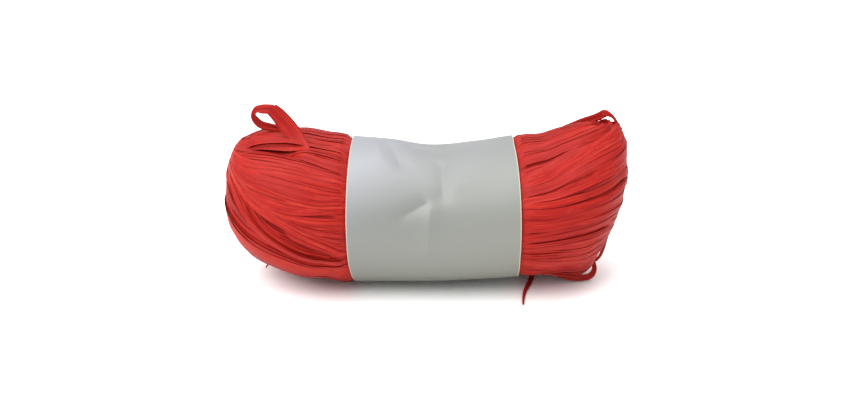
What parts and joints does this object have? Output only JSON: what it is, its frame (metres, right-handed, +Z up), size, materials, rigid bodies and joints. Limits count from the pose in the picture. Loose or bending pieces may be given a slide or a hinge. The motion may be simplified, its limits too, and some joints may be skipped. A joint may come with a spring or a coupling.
{
  "type": "hank of raffia ribbon with a paper band",
  "caption": "Wound hank of dyed raffia ribbon lying on its long side, drawn in at the waist by a paper band, with a sprung loop and a loose end.",
  "frame": {"origin": "on the surface that the hank lies on, under the middle of its box without the loose end", "axes": "+X along the hank to its taller end, -Y to the front, where the loose end lies, +Z up"},
  "size_m": [0.198, 0.0886, 0.0888],
  "materials": {
    "raffia": "dyed natural raffia, satin, fine lengthwise fibres",
    "band_paper": "coated silver-grey paper, softly creased"
  },
  "bodies": {
    "root": {"hank_body": "raffia", "paper_band": "band_paper", "loose_end": "raffia"}
  },
  "joints": []
}
